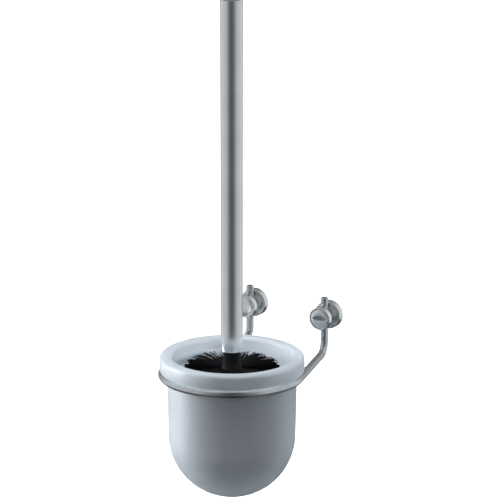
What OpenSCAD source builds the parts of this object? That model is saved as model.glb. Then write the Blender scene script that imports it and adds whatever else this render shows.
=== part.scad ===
// Wall-hung toilet brush set: a bent rod carries a frosted glass cup, and the brush stands in the cup.
// Origin: on the wall, midway between the two wall posts. +Z up, the wall is the plane y = 0,
// and the set stands out from it along -Y. Millimetres.

/* [Rod frame] */
// Thickness of the bent rod
rod_d = 6; // [5:0.5:7]
// Radius of the ring, to the middle of the rod
ring_r = 53.6; // [53.4:0.1:56]
// Distance between the two wall posts
post_pitch = 67; // [56:1:80]
// Distance from the ring's centre back to the upright ends of the rod
arm_reach = 85; // [80:1:110]
// Depth of the ring below the posts' axes
ring_drop = 28.5; // [24:0.5:40]
// Height of the rod's tips above the posts' axes
rod_rise = 15.5; // [12:0.5:20]
// Bend radius where the arms turn up, to the middle of the rod
bend_r = 10; // [6:0.5:12]

/* [Wall posts] */
// Distance from the wall to the middle of the rod
rod_to_wall = 10; // [10:0.5:12]
// Diameter of the wall rosette
rosette_d = 22; // [20:0.5:26]
// Thickness of the wall rosette
rosette_t = 6; // [5.5:0.1:6.5]
// Diameter of the neck between rosette and cap
neck_d = 12; // [11:0.5:13]
// Diameter of the front cap
cap_d = 18; // [16:0.5:20]
// Distance from the wall to the front of the cap
cap_reach = 19.6; // [19:0.1:22]

/* [Glass cup] */
// Radius of the round bottom, outside
bowl_r = 48.8; // [46:0.1:49.2]
// Depth of the round bottom's centre below the ring
bowl_drop = 48.5; // [46:0.1:56]
// Draft of the cup's side, in degrees
side_draft = 1.2; // [0.5:0.1:1.4]
// Thickness of the glass
glass_t = 4.4; // [3.5:0.1:5]
// Outer radius of the thick rim that hangs on the ring
rim_r = 55.6; // [54.2:0.1:56.5]
// Height of the rim's top above the ring
rim_rise = 15; // [13:0.5:18]

/* [Brush] */
// Height of the handle's end above the ring
handle_rise = 294; // [240:1:320]
// Height of the handle tube's lower end above the ring
handle_foot = 18.5; // [17:0.5:20]
// Diameter of the handle at its upper end
handle_top_d = 17.1; // [16.6:0.1:18]
// Diameter of the handle at its lower end
handle_low_d = 16.6; // [15:0.1:17]
// Radius of the bristles
bristle_r = 37.3; // [33:0.1:38.5]
// Height of the highest bristles above the ring
bristle_rise = 7.5; // [4:0.1:10]

/* [Hidden] */
$fn = 96;

fit_gap = 0.05;          // all round, between pieces that slide together
seat_gap = 0.2;          // between pieces that only rest on each other
rod_r = rod_d / 2;
rod_y = -rod_to_wall;
cup_y = rod_y - arm_reach;
ring_z = -ring_drop;

// Posts and their fixings
bush_t = 4;
bush_r = 6.95;
bush_groove = 0.8;
recess_r = bush_r + fit_gap;
recess_depth = bush_t + 0.2;
rod_hole_r = rod_r + fit_gap;
grub_r = 2;
grub_y = -bush_t / 2 - 0.2;
clamp_r = 2.5;
clamp_socket = 2.5;      // across flats
grub_socket = 2;         // across flats
neck_end = cap_reach - 2;
cap_back = rod_to_wall + rod_r + 1;
screw_hole_r = 2.25;     // for a 4 mm countersunk wall screw
sink_r = 4.1;
sink_depth = sink_r - screw_hole_r;

// Cup
inner_r = bowl_r - glass_t;
floor_extra = 2;         // the floor is this much thicker than the side
outer_centre = -bowl_drop;
inner_centre = outer_centre + floor_extra;
rim_round = 3;
rim_foot_round = 1.5;
rim_foot = rod_r + seat_gap;

// Brush
tube_wall = 1;
insert_r = handle_low_d / 2 - tube_wall;
insert_len = 20;
thread_r = 4;
stud_r = thread_r - fit_gap;
stud_len = 15;
plug_spigot_r = handle_top_d / 2 - tube_wall;
plug_spigot_len = 10;
dome_rise = 1.6;
core_r = 8;
core_neck_r = 6.6;
core_foot = 78;          // depth of the core's end below the ring
cup_floor = inner_centre - inner_r;
head_centre = cup_floor + bristle_r + seat_gap;
end_bristle_top = -71;

// Points of an arc about [cx, cy], from angle a0 to a1
function arc(cx, cy, r, a0, a1, steps) =
    [for (i = [0 : steps]) let (a = a0 + (a1 - a0) * i / steps) [cx + r * cos(a), cy + r * sin(a)]];

// Radius at height z of a drafted side that meets a ball of radius r at height c
function side_at(r, c, z) = (r + (z - c) * sin(side_draft)) / cos(side_draft);

module at_post(side) { translate([side * post_pitch / 2, 0, 0]) children(); }

// Turns a shape made along +Z from z = 0 to stand out from the wall along -Y
module from_wall() { rotate([90, 0, 0]) children(); }

module at_cup() { translate([0, cup_y, ring_z]) children(); }

// ---- Rod frame ----

foot_x = post_pitch / 2;
foot_d = norm([foot_x, arm_reach]);
touch_a = atan2(arm_reach, foot_x) - acos(ring_r / foot_d);
arm_len = round(1000 * (sqrt(foot_d * foot_d - ring_r * ring_r) - bend_r)) / 1000;
join_bead = 0.03;        // a ball this much thicker than the rod joins each arm to the ring in one solid

// Arm that leaves the ring in a straight line, the bend and the upright end
module rod_arm() {
    upright = ring_drop + rod_rise - bend_r - 1;
    rotate([0, 0, touch_a]) translate([ring_r, 0, 0]) {
        rotate([-90, 0, 0]) cylinder(h = arm_len, r = rod_r);
        translate([0, arm_len, bend_r]) rotate([90, 0, 90]) rotate([0, 0, -90])
            rotate_extrude(angle = 90) translate([bend_r, 0]) circle(rod_r);
        translate([0, arm_len + bend_r, bend_r]) {
            cylinder(h = upright, r = rod_r);
            translate([0, 0, upright]) cylinder(h = 1, r1 = rod_r, r2 = rod_r - 1);
        }
        sphere(r = rod_r + join_bead, $fn = 48);
    }
}

module rod_frame() {
    color([0.80, 0.82, 0.84]) at_cup() {
        rotate([0, 0, 180 - touch_a]) rotate_extrude(angle = 180 + 2 * touch_a)
            translate([ring_r, 0]) circle(rod_r);
        rod_arm();
        mirror([1, 0, 0]) rod_arm();
    }
}

// ---- Wall posts ----

// A disc from y0 to y1 in front of the wall, with its front edge rounded
module round_disc(r, y0, y1, edge) {
    from_wall() rotate_extrude() polygon(concat(
        [[0, y0], [r, y0]],
        arc(r - edge, y1 - edge, edge, 0, 90, 8),
        [[0, y1]]));
}

module post() {
    color([0.80, 0.82, 0.84]) difference() {
        union() {
            round_disc(rosette_d / 2, 0, rosette_t, 1);
            translate([0, -rosette_t, 0]) from_wall() cylinder(h = neck_end - rosette_t, r = neck_d / 2);
        }
        translate([0, 1, 0]) from_wall() cylinder(h = recess_depth + 1, r = recess_r);
        translate([0, rod_y, -neck_d]) cylinder(h = 2 * neck_d, r = rod_hole_r);
        from_wall() cylinder(h = neck_end + 1, r = clamp_r);
        translate([0, grub_y, -rosette_d]) cylinder(h = rosette_d, r = grub_r);
    }
}

module cap() {
    edge = 1.4;
    color([0.80, 0.82, 0.84]) difference() {
        round_disc(cap_d / 2, cap_back, cap_reach, edge);
        translate([0, -cap_back + 1, 0]) from_wall()
            cylinder(h = neck_end - cap_back + 1, r = neck_d / 2);
    }
}

// Headless screw along +Z from z = 0, with its hexagon socket at the far end
module grub_screw(r, h, flats) {
    difference() {
        cylinder(h = h, r = r);
        translate([0, 0, h / 2]) cylinder(h = h, r = flats / sqrt(3), $fn = 6);
    }
}

module rod_clamp_screw() {
    from_y = rod_to_wall + rod_r + fit_gap;
    color([0.35, 0.36, 0.38]) translate([0, -from_y, 0]) from_wall()
        grub_screw(clamp_r, neck_end - from_y - 0.3, clamp_socket);
}

module post_grub_screw() {
    tip_z = bush_r - bush_groove + 0.02;
    tip_h = 1.4;
    color([0.35, 0.36, 0.38]) translate([0, grub_y, -tip_z]) mirror([0, 0, 1]) {
        cylinder(h = tip_h, r1 = grub_r - 1.2, r2 = grub_r);
        translate([0, 0, tip_h]) grub_screw(grub_r, rosette_d / 2 - tip_z - tip_h - 0.6, grub_socket);
    }
}

module wall_bush() {
    groove_end = grub_r / 2 + bush_groove;
    color([0.76, 0.64, 0.36]) from_wall() rotate_extrude() polygon([
        [screw_hole_r, 0], [bush_r, 0],
        [bush_r, -grub_y - groove_end], [bush_r - bush_groove, -grub_y - grub_r / 2],
        [bush_r - bush_groove, -grub_y + grub_r / 2], [bush_r, -grub_y + groove_end],
        [bush_r, bush_t], [sink_r, bush_t], [screw_hole_r, bush_t - sink_depth]]);
}

// ---- Glass cup ----

module glass_cup() {
    rim_in = side_at(inner_r, inner_centre, rim_rise - rim_round);
    profile = concat(
        arc(0, outer_centre, bowl_r, -90, -side_draft, 28),
        [[side_at(bowl_r, outer_centre, rim_foot), rim_foot]],
        arc(rim_r - rim_foot_round, rim_foot + rim_foot_round, rim_foot_round, -90, 0, 6),
        arc(rim_r - rim_round, rim_rise - rim_round, rim_round, 0, 90, 8),
        arc(rim_in + rim_round, rim_rise - rim_round, rim_round, 90, 180, 8),
        arc(0, inner_centre, inner_r, -side_draft, -90, 28));
    color([0.86, 0.90, 0.93, 0.8]) at_cup() rotate_extrude() polygon(profile);
}

// ---- Brush ----

module handle_tube() {
    len = handle_rise - handle_foot - dome_rise;
    color([0.80, 0.82, 0.84]) at_cup() translate([0, 0, handle_foot]) difference() {
        cylinder(h = len, r1 = handle_low_d / 2, r2 = handle_top_d / 2);
        translate([0, 0, -1]) cylinder(h = insert_len + 1, r = insert_r);
        translate([0, 0, insert_len - 0.01])
            cylinder(h = len - insert_len - plug_spigot_len + 0.02, r1 = insert_r, r2 = plug_spigot_r);
        translate([0, 0, len - plug_spigot_len]) cylinder(h = plug_spigot_len + 1, r = plug_spigot_r);
    }
}

module handle_end_cap() {
    r = handle_top_d / 2;
    dome_r = (r * r + dome_rise * dome_rise) / (2 * dome_rise);
    color([0.80, 0.82, 0.84]) at_cup() translate([0, 0, handle_rise - dome_rise])
        rotate_extrude() polygon(concat(
            [[0, -plug_spigot_len], [plug_spigot_r, -plug_spigot_len], [plug_spigot_r, 0]],
            arc(0, dome_rise - dome_r, dome_r, acos(r / dome_r), 90, 8)));
}

module handle_insert() {
    color([0.76, 0.64, 0.36]) at_cup() translate([0, 0, handle_foot]) difference() {
        cylinder(h = insert_len, r = insert_r);
        translate([0, 0, -1]) cylinder(h = stud_len + 3, r = thread_r);
    }
}

module brush_core() {
    shoulder = handle_foot - fit_gap;
    color([0.07, 0.07, 0.08]) at_cup() rotate_extrude() polygon(concat(
        [[0, shoulder + stud_len], [0, core_r - core_foot - core_r]],
        arc(0, core_r - core_foot, core_r, -80, 0, 8),
        [[core_r, bristle_rise - 2], [core_neck_r, bristle_rise + 1.5], [core_neck_r, shoulder],
         [stud_r, shoulder], [stud_r, shoulder + stud_len - 1], [stud_r - 1, shoulder + stud_len]]));
}

module side_bristles() {
    inner = core_r + fit_gap;
    low_a = -acos(1) + asin((end_bristle_top + 0.1 - head_centre) / bristle_r);
    color([0.04, 0.04, 0.05]) at_cup() rotate_extrude() polygon(concat(
        arc(0, head_centre, bristle_r, low_a, 0, 12),
        [[bristle_r, bristle_rise - 2.5], [bristle_r - 4, bristle_rise],
         [inner + 4, bristle_rise - 3], [inner, bristle_rise - 4.5], [inner, end_bristle_top + 0.1]]));
}

module end_bristles() {
    inner = core_r + fit_gap;
    top_a = asin((end_bristle_top - head_centre) / bristle_r);
    color([0.04, 0.04, 0.05]) at_cup() rotate_extrude() polygon(concat(
        arc(0, head_centre, bristle_r, -90, top_a, 12),
        [[inner, end_bristle_top]],
        arc(0, core_r - core_foot, inner, 0, -90, 8)));
}

// ---- Nodes ----

rod_frame();

for (side = [["left", -1], ["right", 1]]) {
    at_post(side[1]) post();
    at_post(side[1]) cap();
    at_post(side[1]) rod_clamp_screw();
    at_post(side[1]) wall_bush();
    at_post(side[1]) post_grub_screw();
}

glass_cup();
handle_tube();
handle_end_cap();
handle_insert();
brush_core();
side_bristles();
end_bristles();
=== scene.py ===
import math

import bmesh
import bpy
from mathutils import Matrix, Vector


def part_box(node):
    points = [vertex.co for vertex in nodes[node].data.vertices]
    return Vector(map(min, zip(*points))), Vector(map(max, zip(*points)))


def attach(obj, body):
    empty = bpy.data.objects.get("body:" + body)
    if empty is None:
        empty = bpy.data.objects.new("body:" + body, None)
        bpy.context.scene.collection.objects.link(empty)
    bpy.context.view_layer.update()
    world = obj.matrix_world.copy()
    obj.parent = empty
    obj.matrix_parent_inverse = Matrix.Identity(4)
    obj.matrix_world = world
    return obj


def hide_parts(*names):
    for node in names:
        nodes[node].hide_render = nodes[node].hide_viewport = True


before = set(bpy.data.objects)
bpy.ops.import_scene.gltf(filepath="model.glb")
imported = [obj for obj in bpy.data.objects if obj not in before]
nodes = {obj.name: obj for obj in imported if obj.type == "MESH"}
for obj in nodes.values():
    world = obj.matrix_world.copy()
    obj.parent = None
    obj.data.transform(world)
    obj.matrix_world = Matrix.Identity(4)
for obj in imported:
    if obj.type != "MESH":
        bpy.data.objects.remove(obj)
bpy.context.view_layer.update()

# ---- Rod frame ----
# One round steel rod, bent cold into the ring that carries the cup and run back to the wall
# as two arms, whose ends turn up through the posts. It is polished and chrome plated after bending.

rod_r = 0.003
bend_r = 0.010
tip_round = 0.0012
ring_steps = 48
bend_steps = 12
tip_steps = 6
rod_sides = 32

rod_low, rod_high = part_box("rod_frame")
cup_low, cup_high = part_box("glass_cup")
cup_y = (cup_low.y + cup_high.y) / 2
ring_z = round(rod_low.z + rod_r, 4)
ring_r = rod_high.x - rod_r
rod_y = rod_high.y - rod_r
post_x = sum(v.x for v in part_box("right_post")) / 2
arm_reach = rod_y - cup_y
touch = math.atan2(arm_reach, post_x) - math.acos(ring_r / math.hypot(post_x, arm_reach))
leave = Vector((math.cos(touch) * ring_r, cup_y + math.sin(touch) * ring_r, ring_z))
along = Vector((-math.sin(touch), math.cos(touch), 0))
up = Vector((0, 0, 1))
bend_start = Vector((post_x, rod_y, ring_z)) - along * bend_r

half_path = []
for i in range(ring_steps + 1):
    turn_at = -math.pi / 2 + (touch + math.pi / 2) * i / ring_steps
    on_ring = Vector((math.cos(turn_at) * ring_r, cup_y + math.sin(turn_at) * ring_r, ring_z))
    half_path.append((on_ring, 1.0))
half_path += [(leave.lerp(bend_start, t), 1.0) for t in (0.25, 0.5, 0.75)]
for i in range(bend_steps + 1):
    swing = math.pi / 2 * i / bend_steps
    on_bend = bend_start + along * bend_r * math.sin(swing) + up * bend_r * (1 - math.cos(swing))
    half_path.append((on_bend, 1.0))
for z in (-0.012, -0.006, 0.0, 0.006, 0.011):
    half_path.append((Vector((post_x, rod_y, z)), 1.0))
for i in range(tip_steps + 1):
    swing = math.pi / 2 * i / tip_steps
    half_path.append((Vector((post_x, rod_y, rod_high.z - tip_round * (1 - math.sin(swing)))),
                      1 - tip_round / rod_r * (1 - math.cos(swing))))
mirrored = [(Vector((-p.x, p.y, p.z)), s) for p, s in half_path[1:]]
rod_path = mirrored[::-1] + half_path


def add_socket(tree, name, kind, value=None, out=False):
    """A named input or output on a node tree."""
    way = "OUTPUT" if out else "INPUT"
    socket = tree.interface.new_socket(name, in_out=way, socket_type="NodeSocket" + kind)
    if value is not None:
        socket.default_value = value
    return socket


def surface_marks():
    """What handling and polishing leave on a smooth part: cloudy patches, and fine grain for the bump."""
    tree = bpy.data.node_groups.new("surface_marks", "ShaderNodeTree")
    add_socket(tree, "Patch Scale", "Float", 60.0)
    add_socket(tree, "Grain Scale", "Float", 2500.0)
    add_socket(tree, "Contrast", "Float", 1.0)
    add_socket(tree, "Mask", "Float", out=True)
    add_socket(tree, "Grain", "Float", out=True)
    new, link = tree.nodes.new, tree.links.new
    given, result = new("NodeGroupInput"), new("NodeGroupOutput")
    place = new("ShaderNodeTexCoord")
    patch, grain = new("ShaderNodeTexNoise"), new("ShaderNodeTexNoise")
    patch.inputs["Detail"].default_value = 4.0
    patch.inputs["Roughness"].default_value = 0.62
    grain.inputs["Detail"].default_value = 2.0
    for noise, scale in ((patch, "Patch Scale"), (grain, "Grain Scale")):
        link(place.outputs["Object"], noise.inputs["Vector"])
        link(given.outputs[scale], noise.inputs["Scale"])
    spread = new("ShaderNodeMath")
    spread.operation = "MULTIPLY_ADD"
    spread.use_clamp = True
    centred = new("ShaderNodeMath")
    centred.operation = "SUBTRACT"
    centred.inputs[1].default_value = 0.5
    link(patch.outputs["Fac"], centred.inputs[0])
    link(centred.outputs[0], spread.inputs[0])
    link(given.outputs["Contrast"], spread.inputs[1])
    spread.inputs[2].default_value = 0.5
    link(spread.outputs[0], result.inputs["Mask"])
    link(grain.outputs["Fac"], result.inputs["Grain"])
    return tree


marks_group = surface_marks()


def finish(name, low, high, rough, metallic=0.0, patch=60.0, grain=2500.0, relief=0.02, depth=0.00002):
    """A material whose colour and roughness drift between two values, with a fine grain in its surface."""
    mat = bpy.data.materials.new(name)
    mat.use_nodes = True
    tree = mat.node_tree
    shader = tree.nodes["Principled BSDF"]
    shader.inputs["Metallic"].default_value = metallic
    marks = tree.nodes.new("ShaderNodeGroup")
    marks.node_tree = marks_group
    marks.inputs["Patch Scale"].default_value = patch
    marks.inputs["Grain Scale"].default_value = grain
    marks.inputs["Contrast"].default_value = 2.0
    colour = tree.nodes.new("ShaderNodeMix")
    colour.data_type = "RGBA"
    colour.inputs[6].default_value = (*low, 1)
    colour.inputs[7].default_value = (*high, 1)
    tree.links.new(marks.outputs["Mask"], colour.inputs[0])
    tree.links.new(colour.outputs[2], shader.inputs["Base Color"])
    gloss = tree.nodes.new("ShaderNodeMapRange")
    gloss.inputs["To Min"].default_value, gloss.inputs["To Max"].default_value = rough
    tree.links.new(marks.outputs["Mask"], gloss.inputs["Value"])
    tree.links.new(gloss.outputs["Result"], shader.inputs["Roughness"])
    bump = tree.nodes.new("ShaderNodeBump")
    bump.inputs["Strength"].default_value = relief
    bump.inputs["Distance"].default_value = depth
    tree.links.new(marks.outputs["Grain"], bump.inputs["Height"])
    tree.links.new(bump.outputs["Normal"], shader.inputs["Normal"])
    return mat


rod_chrome = finish("bent_rod_chrome", (0.58, 0.60, 0.62), (0.70, 0.72, 0.74), (0.03, 0.08),
                    metallic=1.0, patch=45.0)


def bare_piece(name, verts, edges=(), faces=()):
    """A new object at the origin with its place in its mesh."""
    mesh = bpy.data.meshes.new(name)
    mesh.from_pydata([tuple(v) for v in verts], list(edges), list(faces))
    piece = bpy.data.objects.new(name, mesh)
    bpy.context.scene.collection.objects.link(piece)
    return piece


def plain_mesh(piece):
    """Swaps a piece's live modifiers for their result."""
    mesh = bpy.data.meshes.new_from_object(piece.evaluated_get(bpy.context.evaluated_depsgraph_get()))
    piece.modifiers.clear()
    piece.data = mesh


def drawn_rod_tree():
    """Sweeps a round section along the piece's own line of points, thinned where the line says so."""
    tree = bpy.data.node_groups.new("drawn_rod", "GeometryNodeTree")
    add_socket(tree, "Geometry", "Geometry")
    radius = add_socket(tree, "Rod Radius", "Float", 0.003)
    sides = add_socket(tree, "Sides", "Int", 32)
    material = add_socket(tree, "Material", "Material")
    add_socket(tree, "Geometry", "Geometry", out=True)
    new, link = tree.nodes.new, tree.links.new
    given, result = new("NodeGroupInput"), new("NodeGroupOutput")
    line, circle = new("GeometryNodeMeshToCurve"), new("GeometryNodeCurvePrimitiveCircle")
    sweep, smooth = new("GeometryNodeCurveToMesh"), new("GeometryNodeSetShadeSmooth")
    swell = new("GeometryNodeInputNamedAttribute")
    real, paint = new("GeometryNodeRealizeInstances"), new("GeometryNodeSetMaterial")
    swell.data_type = "FLOAT"
    swell.inputs["Name"].default_value = "swell"
    link(given.outputs["Geometry"], line.inputs["Mesh"])
    link(given.outputs["Rod Radius"], circle.inputs["Radius"])
    link(given.outputs["Sides"], circle.inputs["Resolution"])
    link(line.outputs["Curve"], sweep.inputs["Curve"])
    link(circle.outputs["Curve"], sweep.inputs["Profile Curve"])
    link(swell.outputs["Attribute"], sweep.inputs["Scale"])
    sweep.inputs["Fill Caps"].default_value = True
    link(sweep.outputs["Mesh"], smooth.inputs["Geometry"])
    link(smooth.outputs["Geometry"], real.inputs["Geometry"])
    link(real.outputs["Geometry"], paint.inputs["Geometry"])
    link(given.outputs["Material"], paint.inputs["Material"])
    link(paint.outputs["Geometry"], result.inputs["Geometry"])
    return tree, {"radius": radius.identifier, "sides": sides.identifier, "material": material.identifier}


sharp_edge = math.radians(35)


def outward(mesh):
    """Points every face out of the solid and keeps the real edges crisp."""
    work = bmesh.new()
    work.from_mesh(mesh)
    bmesh.ops.remove_doubles(work, verts=work.verts, dist=1e-7)
    bmesh.ops.recalc_face_normals(work, faces=work.faces)
    work.to_mesh(mesh)
    work.free()
    mesh.shade_smooth()
    mesh.set_sharp_from_angle(angle=sharp_edge)


rod = bare_piece("bent_rod", [p for p, s in rod_path], [(i, i + 1) for i in range(len(rod_path) - 1)])
thinned = rod.data.attributes.new("swell", "FLOAT", "POINT")
thinned.data.foreach_set("value", [s for p, s in rod_path])
rod_tree, rod_inputs = drawn_rod_tree()
sweeping = rod.modifiers.new("drawn_rod", "NODES")
sweeping.node_group = rod_tree
sweeping[rod_inputs["radius"]] = rod_r
sweeping[rod_inputs["sides"]] = rod_sides
sweeping[rod_inputs["material"]] = rod_chrome
plain_mesh(rod)
outward(rod.data)
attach(rod, "wall_frame")
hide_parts("rod_frame")

# ---- Wall posts ----
# A turned brass spool on each side, chrome plated: a rosette against the wall and a neck that the
# rod passes through. It slides over a bush on the wall and a small screw from below holds it there.

rosette_r = 0.011
rosette_t = 0.006
neck_r = 0.006
recess_r = 0.007
recess_t = 0.0042
post_edge = 0.0009
neck_hole_r = 0.00305
grub_hole_r = 0.002
clamp_hole_r = 0.0025
grub_y = -0.0022
fine_edge = 0.0003
foot_edge = 0.0004
neck_fillet = 0.0006
drill_reach = 0.02

post_chrome = finish("post_chrome", (0.78, 0.80, 0.79), (0.88, 0.90, 0.89), (0.20, 0.28),
                     metallic=1.0, patch=110.0)


def quarter(cx, cy, r, a0, a1, steps=6):
    """Points of an arc, as radius and height, from one angle to another in degrees."""
    return [(cx + r * math.cos(math.radians(a0 + (a1 - a0) * i / steps)),
             cy + r * math.sin(math.radians(a0 + (a1 - a0) * i / steps))) for i in range(steps + 1)]


def turned(name, outline, centre, out_of_wall=False, steps=96):
    """A piece turned on a lathe, from points of radius and height; a radius of 0 closes an end."""
    verts, rings, faces = [], [], []
    for r, h in outline:
        if r < 1e-7:
            rings.append([len(verts)])
            verts.append((0.0, 0.0, h))
        else:
            rings.append(list(range(len(verts), len(verts) + steps)))
            verts += [(r * math.cos(2 * math.pi * k / steps), r * math.sin(2 * math.pi * k / steps), h)
                      for k in range(steps)]
    closed = len(rings[0]) > 1
    pairs = list(zip(rings, rings[1:])) + ([(rings[-1], rings[0])] if closed else [])
    for a, b in pairs:
        for k in range(steps):
            m = (k + 1) % steps
            if len(a) == 1 and len(b) > 1:
                faces.append((a[0], b[k], b[m]))
            elif len(b) == 1 and len(a) > 1:
                faces.append((a[k], a[m], b[0]))
            elif len(a) > 1:
                faces.append((a[k], a[m], b[m], b[k]))
    if out_of_wall:
        verts = [(x, -h, y) for x, y, h in verts]
    piece = bare_piece(name, [Vector(v) + Vector(centre) for v in verts], faces=faces)
    outward(piece.data)
    return piece


def rod_cutter(radius, start, end, steps=48):
    """A plain round bar between two points, used to cut a hole."""
    axis = (end - start).normalized()
    side = axis.orthogonal().normalized()
    other = axis.cross(side)
    turns = [2 * math.pi * k / steps for k in range(steps)]
    verts = [p + (side * math.cos(a) + other * math.sin(a)) * radius for p in (start, end) for a in turns]
    faces = [(k, (k + 1) % steps, steps + (k + 1) % steps, steps + k) for k in range(steps)]
    faces += [tuple(range(steps))[::-1], tuple(range(steps, 2 * steps))]
    cutter = bare_piece("cutter", verts, faces=faces)
    outward(cutter.data)
    return cutter


def drill(piece, *cutters):
    """Cuts each bar out of the piece and throws the bars away."""
    for cutter in cutters:
        cut = piece.modifiers.new("hole", "BOOLEAN")
        cut.operation = "DIFFERENCE"
        cut.solver = "EXACT"
        cut.object = cutter
    plain_mesh(piece)
    for cutter in cutters:
        bpy.data.objects.remove(cutter)
    outward(piece.data)


neck_end = -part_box("right_post")[0].y
post_outline = [(clamp_hole_r, recess_t), (recess_r, recess_t), (recess_r, fine_edge),
                (recess_r - fine_edge, 0.0),
                *quarter(rosette_r - foot_edge, foot_edge, foot_edge, -90, 0, 3),
                *quarter(rosette_r - post_edge, rosette_t - post_edge, post_edge, 0, 90),
                *quarter(neck_r + neck_fillet, rosette_t + neck_fillet, neck_fillet, 270, 180, 4),
                (neck_r, neck_end - fine_edge), (neck_r - fine_edge, neck_end), (clamp_hole_r, neck_end)]
for side, x in (("left", -post_x), ("right", post_x)):
    post = turned(side + "_spool", post_outline, (x, 0, 0), out_of_wall=True)
    drill(post,
          rod_cutter(neck_hole_r, Vector((x, rod_y, -drill_reach)), Vector((x, rod_y, drill_reach))),
          rod_cutter(grub_hole_r, Vector((x, grub_y, -drill_reach)), Vector((x, grub_y, 0.0))))
    post.data.materials.append(post_chrome)
    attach(post, "wall_frame")
    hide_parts(side + "_post")

# ---- Front caps ----
# A turned and chrome plated cap pressed on each neck. It hides the screw that clamps the rod,
# and its face is slightly domed with a fine turned ring near the edge.

cap_r = 0.009
cap_edge = 0.0016
cap_dome = 0.0009
cap_mouth = 0.0002
cap_step = 0.0003
cap_sink = 0.0002

cap_low, cap_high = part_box("right_cap")
cap_back, cap_front = -cap_high.y, -cap_low.y
cap_chrome = finish("cap_chrome", (0.86, 0.88, 0.87), (0.93, 0.95, 0.94), (0.18, 0.26),
                    metallic=1.0, patch=140.0)
face_r = cap_r - cap_edge
dome = [(face_r * math.cos(math.radians(t)), cap_front - cap_dome + cap_dome * math.sin(math.radians(t)))
        for t in range(10, 90, 10)]
cap_outline = [(0.0, neck_end), (neck_r, neck_end), (neck_r, cap_back + cap_mouth),
               (neck_r + cap_mouth, cap_back),
               *quarter(cap_r - foot_edge, cap_back + foot_edge, foot_edge, -90, 0, 3),
               *quarter(cap_r - cap_edge + cap_dome, cap_front - cap_edge, cap_edge - cap_dome, 0, 90),
               (face_r + cap_step, cap_front - cap_dome - cap_sink),
               (face_r, cap_front - cap_dome - cap_sink),
               *dome, (0.0, cap_front)]
for side, x in (("left", -post_x), ("right", post_x)):
    cap = turned(side + "_domed_cap", cap_outline, (x, 0, 0), out_of_wall=True)
    cap.data.materials.append(cap_chrome)
    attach(cap, "wall_frame")
    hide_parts(side + "_cap")

# ---- Wall fixings ----
# Behind each post, a turned brass bush takes the wall screw; the screw and its plug come loose and
# sit in the wall. Two black headless screws with hexagon sockets hold the post on its bush and the
# rod in its neck.

bush_brass = finish("turned_brass", (0.60, 0.46, 0.20), (0.76, 0.62, 0.32), (0.22, 0.36),
                    metallic=1.0, patch=220.0, relief=0.1)
black_oxide = finish("black_oxide", (0.03, 0.03, 0.035), (0.08, 0.08, 0.085), (0.32, 0.5),
                     metallic=1.0, patch=400.0, relief=0.1)


def repaint(node, material):
    """Gives a piece that keeps its own shape its finish."""
    nodes[node].data.materials.clear()
    nodes[node].data.materials.append(material)


for side in ("left", "right"):
    repaint(side + "_wall_bush", bush_brass)
    repaint(side + "_post_grub_screw", black_oxide)
    repaint(side + "_rod_clamp_screw", black_oxide)

# ---- Glass cup ----
# Pressed glass about 4 mm thick, with a heavy rim that stands on the ring and a rounded bottom.
# It is acid etched all over, which leaves it satin and lets the dark brush show through as a soft shape.

bowl_r = 0.0488
glass_t = 0.0044
side_draft = math.radians(1.2)
bowl_drop = 0.0485
floor_extra = 0.002
rim_r = 0.0556
rim_rise = 0.015
rim_round = 0.003
rim_foot = 0.0032
rim_foot_round = 0.0015

inner_r = bowl_r - glass_t
inner_centre = floor_extra - bowl_drop


def side_at(r, centre, h):
    """Radius of the drafted side at a height."""
    return (r + (h - centre) * math.sin(side_draft)) / math.cos(side_draft)


draft_deg = math.degrees(side_draft)
rim_in = side_at(inner_r, inner_centre, rim_rise - rim_round)
cup_outline = quarter(0, -bowl_drop, bowl_r, -90, -draft_deg, 36)
body_top = side_at(bowl_r, -bowl_drop, rim_foot)
cup_outline += [(side_at(bowl_r, -bowl_drop, z), z) for z in (-0.04, -0.03, -0.02, -0.01, 0.0)]
cup_outline += [(body_top, rim_foot)]
cup_outline += quarter(rim_r - rim_foot_round, rim_foot + rim_foot_round, rim_foot_round, -90, 0, 8)
cup_outline += quarter(rim_r - rim_round, rim_rise - rim_round, rim_round, 0, 90, 10)
cup_outline += quarter(rim_in + rim_round, rim_rise - rim_round, rim_round, 90, 180, 10)
cup_outline += [(side_at(inner_r, inner_centre, z), z) for z in (0.0, -0.01, -0.02, -0.03, -0.04)]
cup_outline += quarter(0, inner_centre, inner_r, -draft_deg, -90, 36)
cup_outline[0], cup_outline[-1] = (0.0, cup_outline[0][1]), (0.0, cup_outline[-1][1])

etched = finish("etched_glass", (0.80, 0.86, 0.92), (0.87, 0.93, 0.98), (0.40, 0.48),
                patch=35.0, grain=1800.0, relief=0.15, depth=0.00005)
etched_shader = etched.node_tree.nodes["Principled BSDF"]
etched_shader.inputs["Transmission Weight"].default_value = 0.7
etched_shader.inputs["IOR"].default_value = 1.5

cup = turned("etched_cup", cup_outline, (0, cup_y, ring_z), steps=144)
cup.data.materials.append(etched)
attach(cup, "cup")
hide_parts("glass_cup")

# ---- Handle ----
# A thin steel tube, slightly thicker towards the upper end, polished and chrome plated.
# A threaded brass insert is pressed in its lower end.

tube_wall = 0.001
rim_break = 0.0002
tube_low, tube_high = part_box("handle_tube")
tube_top_r = (tube_high.x - tube_low.x) / 2
insert_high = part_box("handle_insert")[1]
end_low, end_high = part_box("handle_end_cap")
tube_low_r = insert_high.x + tube_wall

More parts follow.
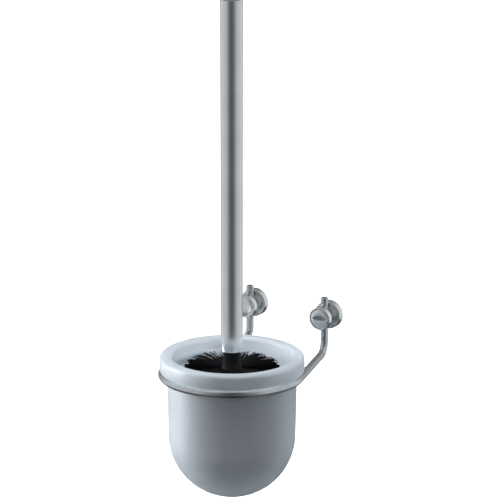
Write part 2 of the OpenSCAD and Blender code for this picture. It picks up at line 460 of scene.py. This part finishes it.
tube_chrome = finish("tube_chrome", (0.76, 0.78, 0.80), (0.86, 0.88, 0.90), (0.16, 0.22),
                     metallic=1.0, patch=40.0)
tube_outline = [(tube_low_r - tube_wall, tube_low.z), (tube_low_r - fine_edge, tube_low.z),
                (tube_low_r, tube_low.z + fine_edge)]
for t in (0.25, 0.5, 0.75):
    tube_outline.append((tube_low_r + (tube_top_r - tube_low_r) * t,
                         tube_low.z + (tube_high.z - tube_low.z) * t))
tube_outline += [(tube_top_r, tube_high.z - rim_break), (tube_top_r - rim_break, tube_high.z),
                 (tube_top_r - tube_wall, tube_high.z), (tube_top_r - tube_wall, end_low.z),
                 (tube_low_r - tube_wall, insert_high.z)]
tube = turned("handle_tube_polished", tube_outline, (0, cup_y, 0))
tube.data.materials.append(tube_chrome)
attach(tube, "brush_handle")
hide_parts("handle_tube")
repaint("handle_insert", bush_brass)

# ---- Handle end cap ----
# A low domed plug of the same plated steel, pressed in the tube's upper end.
# A hair-fine joint line is left between it and the tube.

cap_rise = end_high.z - tube_high.z
dome_r = (tube_top_r ** 2 + cap_rise ** 2) / (2 * cap_rise)
end_outline = [(0.0, end_low.z), (tube_top_r - tube_wall, end_low.z), (tube_top_r - tube_wall, tube_high.z),
               (tube_top_r - fine_edge, tube_high.z), (tube_top_r, tube_high.z + fine_edge)]
shoulder = math.degrees(math.acos(tube_top_r / dome_r))
end_outline += quarter(0, end_high.z - dome_r, dome_r, shoulder + 3, 90, 12)[:-1] + [(0.0, end_high.z)]
end_cap = turned("handle_end_domed", end_outline, (0, cup_y, 0))
end_cap.data.materials.append(tube_chrome)
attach(end_cap, "brush_handle")
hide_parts("handle_end_cap")

# ---- Brush core ----
# Moulded black plastic that holds the bristle tufts. Its stub screws into the handle's insert,
# and a narrower collar above the bristles meets the end of the tube.

core_r = 0.008
core_neck_r = 0.0066
stub_r = 0.00395
thread_pitch = 0.0015
thread_depth = 0.0005
core_low, core_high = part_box("brush_core")
bristle_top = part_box("side_bristles")[1].z
foot_centre = core_low.z + core_r

core_black = finish("moulded_black", (0.006, 0.006, 0.007), (0.014, 0.014, 0.016), (0.34, 0.48),
                    patch=120.0, relief=0.1)
core_black.node_tree.nodes["Principled BSDF"].inputs["Specular IOR Level"].default_value = 0.1
collar_top = tube_low.z - 0.00005
core_outline = quarter(0, foot_centre, core_r, -90, 0, 10)
core_outline[0] = (0.0, core_low.z)
core_outline += [(core_r, bristle_top - 0.0025), (core_r - 0.0004, bristle_top - 0.002),
                 (core_neck_r + 0.0003, bristle_top + 0.001), (core_neck_r, bristle_top + 0.0016),
                 (core_neck_r, collar_top - fine_edge), (core_neck_r - fine_edge, collar_top),
                 (stub_r - 0.0004, collar_top)]
z = collar_top + 0.0005
while z + thread_pitch < core_high.z - 0.001:
    core_outline += [(stub_r - thread_depth, z), (stub_r, z + thread_pitch * 0.4),
                     (stub_r, z + thread_pitch * 0.55), (stub_r - thread_depth, z + thread_pitch * 0.95)]
    z += thread_pitch
core_outline += [(stub_r - 0.001, core_high.z), (0.0, core_high.z)]
core = turned("brush_core_moulded", core_outline, (0, cup_y, 0), steps=64)
core.data.materials.append(core_black)
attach(core, "brush_head")
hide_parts("brush_core")

# ---- Bristles ----
# Black nylon bristles set in tufts round the core and over its end. Each tuft spreads a little
# from its hole, and all are trimmed to a cylinder with a rounded bottom.

bristle_black = finish("bristle_black", (0.004, 0.004, 0.005), (0.012, 0.013, 0.015), (0.45, 0.60),
                       patch=700.0, relief=0.0)
bristle_black.node_tree.nodes["Principled BSDF"].inputs["Specular IOR Level"].default_value = 0.05


def tufts_tree():
    """Rings of tufts: a point for each bristle, placed by its number, then a thin tapered prism on each."""
    tree = bpy.data.node_groups.new("bristle_tufts", "GeometryNodeTree")
    ids = {}
    for name, kind, value in (
            ("Rings", "Int", 18), ("Tufts Per Ring", "Int", 20), ("Bristles Per Tuft", "Int", 16),
            ("First Height", "Float", 0.0), ("Last Height", "Float", 0.0),
            ("First Tilt", "Float", 0.0), ("Last Tilt", "Float", 0.0),
            ("Core Radius", "Float", 0.008), ("Reach", "Float", 0.036), ("Round Centre", "Float", 0.0),
            ("Axis Y", "Float", 0.0), ("Tuft Radius", "Float", 0.0012), ("Fan", "Float", 60.0),
            ("Root Radius", "Float", 0.0002), ("Tip Radius", "Float", 0.00014), ("Seed", "Int", 1)):
        ids[name] = add_socket(tree, name, kind, value).identifier
    ids["Material"] = add_socket(tree, "Material", "Material").identifier
    add_socket(tree, "Geometry", "Geometry", out=True)
    new, link = tree.nodes.new, tree.links.new
    given, result = new("NodeGroupInput"), new("NodeGroupOutput")

    def maths(operation, *values):
        node = new("ShaderNodeMath")
        node.operation = operation
        for slot, value in enumerate(values):
            if isinstance(value, (int, float)):
                node.inputs[slot].default_value = value
            else:
                link(value, node.inputs[slot])
        return node.outputs[0]

    def random(low, high, offset):
        node = new("FunctionNodeRandomValue")
        node.data_type = "FLOAT"
        node.inputs[2].default_value = low
        node.inputs[3].default_value = high
        link(maths("ADD", given.outputs["Seed"], offset), node.inputs["Seed"])
        return node.outputs[1]

    put = given.outputs

    def between(start, end, part):
        return maths("ADD", put[start], maths("MULTIPLY", part, maths("SUBTRACT", put[end], put[start])))

    number = new("GeometryNodeInputIndex").outputs[0]
    per_ring = maths("MULTIPLY", put["Tufts Per Ring"], put["Bristles Per Tuft"])
    ring = maths("FLOOR", maths("DIVIDE", maths("ADD", number, 0.5), per_ring))
    tuft_number = maths("FLOOR", maths("DIVIDE", maths("ADD", number, 0.5), put["Bristles Per Tuft"]))
    tuft = maths("MODULO", tuft_number, put["Tufts Per Ring"])
    share = maths("DIVIDE", ring, maths("MAXIMUM", maths("SUBTRACT", put["Rings"], 1), 1))
    stagger = maths("MULTIPLY", maths("MODULO", ring, 2), 0.5)
    round_share = maths("DIVIDE", maths("ADD", tuft, stagger), put["Tufts Per Ring"])
    heading = maths("MULTIPLY", round_share, 2 * math.pi)
    tilt = between("First Tilt", "Last Tilt", share)
    level = between("First Height", "Last Height", share)
    across, rise = maths("COSINE", tilt), maths("SINE", tilt)
    root_r = maths("MULTIPLY", put["Core Radius"], across)
    root_z = maths("ADD", level, maths("MULTIPLY", put["Core Radius"], rise))
    middle = maths("MAXIMUM", root_z, put["Round Centre"])
    pz = maths("SUBTRACT", root_z, middle)
    dot = maths("ADD", maths("MULTIPLY", root_r, across), maths("MULTIPLY", pz, rise))
    far = maths("ADD", maths("MULTIPLY", root_r, root_r), maths("MULTIPLY", pz, pz))
    gap = maths("SUBTRACT", maths("MULTIPLY", put["Reach"], put["Reach"]), far)
    root = maths("SQRT", maths("MAXIMUM", maths("ADD", maths("MULTIPLY", dot, dot), gap), 0))
    reach = maths("SUBTRACT", root, dot)

    cos_h, sin_h = maths("COSINE", heading), maths("SINE", heading)
    aside, above = random(-1.0, 1.0, 11), random(-1.0, 1.0, 23)
    aside_m = maths("MULTIPLY", aside, put["Tuft Radius"])
    above_m = maths("MULTIPLY", above, put["Tuft Radius"])
    # the tuft's own square: sideways round the core, and up along it
    up_r, up_z = maths("MULTIPLY", rise, -1), across
    from_axis = maths("ADD", root_r, maths("MULTIPLY", above_m, up_r))
    x = maths("SUBTRACT", maths("MULTIPLY", cos_h, from_axis), maths("MULTIPLY", sin_h, aside_m))
    y = maths("ADD", maths("MULTIPLY", sin_h, from_axis), maths("MULTIPLY", cos_h, aside_m))
    z = maths("ADD", root_z, maths("MULTIPLY", above_m, up_z))
    place = new("ShaderNodeCombineXYZ")
    link(x, place.inputs["X"])
    link(maths("ADD", y, put["Axis Y"]), place.inputs["Y"])
    link(z, place.inputs["Z"])
    fan_side = maths("MULTIPLY", aside_m, put["Fan"])
    fan_up = maths("MULTIPLY", above_m, put["Fan"])
    out_r = maths("ADD", across, maths("MULTIPLY", fan_up, up_r))
    dx = maths("SUBTRACT", maths("MULTIPLY", cos_h, out_r), maths("MULTIPLY", sin_h, fan_side))
    dy = maths("ADD", maths("MULTIPLY", sin_h, out_r), maths("MULTIPLY", cos_h, fan_side))
    dz = maths("ADD", rise, maths("MULTIPLY", fan_up, up_z))
    heading_vector = new("ShaderNodeCombineXYZ")
    for value, axis in ((dx, "X"), (dy, "Y"), (dz, "Z")):
        link(value, heading_vector.inputs[axis])
    fanned = maths("ADD", maths("MULTIPLY", fan_side, fan_side), maths("MULTIPLY", fan_up, fan_up))
    spread = maths("SQRT", maths("ADD", fanned, 1))
    length = maths("DIVIDE", maths("MULTIPLY", reach, random(0.95, 0.995, 37)), spread)

    points = new("GeometryNodePoints")
    link(maths("MULTIPLY", per_ring, put["Rings"]), points.inputs["Count"])
    link(place.outputs[0], points.inputs["Position"])
    bristle = new("GeometryNodeMeshCone")
    bristle.fill_type = "NGON"
    bristle.inputs["Vertices"].default_value = 3
    bristle.inputs["Side Segments"].default_value = 1
    bristle.inputs["Depth"].default_value = 1.0
    link(put["Tip Radius"], bristle.inputs["Radius Top"])
    link(put["Root Radius"], bristle.inputs["Radius Bottom"])
    aim = new("FunctionNodeAlignRotationToVector")
    aim.axis = "Z"
    link(heading_vector.outputs[0], aim.inputs["Vector"])
    size = new("ShaderNodeCombineXYZ")
    size.inputs["X"].default_value = size.inputs["Y"].default_value = 1.0
    link(length, size.inputs["Z"])
    grown, real = new("GeometryNodeInstanceOnPoints"), new("GeometryNodeRealizeInstances")
    paint = new("GeometryNodeSetMaterial")
    link(points.outputs[0], grown.inputs["Points"])
    link(bristle.outputs["Mesh"], grown.inputs["Instance"])
    link(aim.outputs[0], grown.inputs["Rotation"])
    link(size.outputs[0], grown.inputs["Scale"])
    link(grown.outputs[0], real.inputs["Geometry"])
    link(real.outputs[0], paint.inputs["Geometry"])
    link(put["Material"], paint.inputs["Material"])
    link(paint.outputs[0], result.inputs["Geometry"])
    return tree, ids


tuft_tree, tuft_ids = tufts_tree()
side_low, side_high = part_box("side_bristles")
tip_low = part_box("end_bristles")[0]
head_r = side_high.x
head_centre = tip_low.z + head_r


def grow(name, node, **sizes):
    """One set of tufts, grown by the tree and made a plain mesh."""
    piece = bare_piece(name, [])
    growing = piece.modifiers.new("tufts", "NODES")
    growing.node_group = tuft_tree
    for words, value in sizes.items():
        growing[tuft_ids[words.replace("_", " ").title()]] = value
    growing[tuft_ids["Material"]] = bristle_black
    plain_mesh(piece)
    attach(piece, "brush_head")
    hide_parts(node)


rooted_r = core_r - 0.0005
grow("side_tufts", "side_bristles", rings=26, tufts_per_ring=26, bristles_per_tuft=30,
     first_height=side_low.z + 0.0015, last_height=side_high.z - 0.004, core_radius=rooted_r,
     reach=head_r, round_centre=head_centre, axis_y=cup_y, tuft_radius=0.0013, fan=70.0,
     root_radius=0.0003, tip_radius=0.00028, seed=5)
grow("end_tufts", "end_bristles", rings=9, tufts_per_ring=16, bristles_per_tuft=20,
     first_height=foot_centre, last_height=foot_centre, first_tilt=math.radians(-84),
     last_tilt=math.radians(-6), core_radius=rooted_r, reach=head_r, round_centre=head_centre,
     axis_y=cup_y, tuft_radius=0.0012, fan=110.0, seed=9)

# ---- Studio ----
# A pale floor well below the hung set, in a room that is bright at both sides, dark at the camera
# and dimmer behind the set, with one soft lamp to the left and one overhead. A long-lens camera
# stands in front, to the right and a little above.

azimuth, elevation = math.radians(30.2), math.radians(15.8)
distance = 3.0
frame_width = 0.3826
aim_right, aim_up = 0.0138, 0.0944
floor_z = -0.32
floor_half = 30

sight = Vector((-math.sin(azimuth) * math.cos(elevation), math.cos(azimuth) * math.cos(elevation),
                -math.sin(elevation)))
right = Vector((math.cos(azimuth), math.sin(azimuth), 0))
target = Vector((0, cup_y, ring_z)) + right * aim_right + right.cross(sight) * aim_up
lens = bpy.data.cameras.new("camera")
lens.sensor_width = 36.0
lens.lens = lens.sensor_width * distance / frame_width
lens.clip_end = 100.0
camera = bpy.data.objects.new("camera", lens)
camera.location = target - sight * distance
camera.rotation_mode = "QUATERNION"
camera.rotation_quaternion = sight.to_track_quat("-Z", "Y")
bpy.context.scene.collection.objects.link(camera)
bpy.context.scene.camera = camera

corners = ((-1, -1), (1, -1), (1, 1), (-1, 1))
floor = bare_piece("floor", [(sx * floor_half, sy * floor_half, floor_z) for sx, sy in corners],
                   faces=[(0, 1, 2, 3)])
pale = finish("pale_floor", (0.90, 0.90, 0.90), (0.94, 0.94, 0.94), (0.7, 0.8), patch=2.0, relief=0.0)
pale_shader = pale.node_tree.nodes["Principled BSDF"]
pale_shader.inputs["Emission Color"].default_value = (1, 1, 1, 1)
pale_shader.inputs["Emission Strength"].default_value = 0.45
floor.data.materials.append(pale)
floor.visible_glossy = False
floor.visible_transmission = False
floor.visible_diffuse = False

world = bpy.data.worlds.new("studio")
bpy.context.scene.world = world
world.use_nodes = True
sky = world.node_tree
backdrop = sky.nodes["Background"]
where = sky.nodes.new("ShaderNodeTexCoord")
flat = sky.nodes.new("ShaderNodeVectorMath")
flat.operation = "MULTIPLY"
flat.inputs[1].default_value = (1, 1, 0)
unit = sky.nodes.new("ShaderNodeVectorMath")
unit.operation = "NORMALIZE"
facing = sky.nodes.new("ShaderNodeVectorMath")
facing.operation = "DOT_PRODUCT"
facing.inputs[1].default_value = (math.sin(azimuth), -math.cos(azimuth), 0)
level = sky.nodes.new("ShaderNodeMapRange")
level.inputs["From Min"].default_value = -1.0
height = sky.nodes.new("ShaderNodeSeparateXYZ")
level_up = sky.nodes.new("ShaderNodeMapRange")
level_up.inputs["From Min"].default_value = -1.0
sky.links.new(where.outputs["Generated"], flat.inputs[0])
sky.links.new(flat.outputs[0], unit.inputs[0])
sky.links.new(unit.outputs[0], facing.inputs[0])
sky.links.new(facing.outputs["Value"], level.inputs["Value"])
sky.links.new(where.outputs["Generated"], height.inputs[0])
sky.links.new(height.outputs["Z"], level_up.inputs["Value"])


def graded(driver, stops, tint=(1.0, 1.0, 1.0)):
    """A graded brightness: round the room 0 is behind the set and 1 at the camera; upwards 0 is below."""
    band = sky.nodes.new("ShaderNodeValToRGB")
    for i, (at, value) in enumerate(stops):
        stop = band.color_ramp.elements[i] if i < 2 else band.color_ramp.elements.new(at)
        stop.position = at
        stop.color = (value * tint[0], value * tint[1], value * tint[2], 1)
    sky.links.new(driver.outputs["Result"], band.inputs["Fac"])
    return band.outputs["Color"]


def combine(operation, first, second):
    """Joins two colours of the world channel by channel."""
    node = sky.nodes.new("ShaderNodeVectorMath")
    node.operation = operation
    sky.links.new(first, node.inputs[0])
    sky.links.new(second, node.inputs[1])
    return node.outputs[0]


cool = (0.97, 1.0, 1.03)
mirrored_sky = combine(
    "MULTIPLY",
    graded(level, ((0.0, 0.2), (0.2, 0.7), (0.8, 0.5), (1.0, 0.1)), cool),
    graded(level_up, ((0.25, 0.2), (0.3, 1.0))))
soft_sky = combine(
    "ADD",
    graded(level, ((0.0, 0.9), (0.5, 0.45), (1.0, 0.09)), cool),
    graded(level_up, ((0.5, 0.0), (0.75, 0.5))))
path = sky.nodes.new("ShaderNodeLightPath")
pick = sky.nodes.new("ShaderNodeMix")
pick.data_type = "RGBA"
pick.inputs[7].default_value = (1, 1, 1, 1)
sky.links.new(path.outputs["Is Camera Ray"], pick.inputs[0])
sky.links.new(pick.outputs[2], backdrop.inputs["Color"])
backdrop.inputs["Strength"].default_value = 1.0
which_sky = sky.nodes.new("ShaderNodeMix")
which_sky.data_type = "RGBA"
only_mirrored = sky.nodes.new("ShaderNodeMath")
only_mirrored.operation = "SUBTRACT"
only_mirrored.use_clamp = True
sky.links.new(path.outputs["Is Glossy Ray"], only_mirrored.inputs[0])
sky.links.new(path.outputs["Is Transmission Ray"], only_mirrored.inputs[1])
sky.links.new(only_mirrored.outputs[0], which_sky.inputs[0])
sky.links.new(soft_sky, which_sky.inputs[6])
sky.links.new(mirrored_sky, which_sky.inputs[7])
sky.links.new(which_sky.outputs[2], pick.inputs[6])


def soft_light(name, at, size, power):
    """A square diffused lamp that looks at the set."""
    lamp = bpy.data.lights.new(name, "AREA")
    lamp.size = size
    lamp.energy = power
    holder = bpy.data.objects.new(name, lamp)
    holder.location = at
    holder.rotation_mode = "QUATERNION"
    holder.rotation_quaternion = (target - Vector(at)).to_track_quat("-Z", "Y")
    holder.visible_glossy = False
    bpy.context.scene.collection.objects.link(holder)


soft_light("left_softbox", (-1.74, -0.55, 0.10), 1.0, 48.0)
soft_light("top_softbox", (0.1, -0.3, 1.9), 1.2, 26.0)
bpy.context.scene.view_settings.view_transform = "Standard"
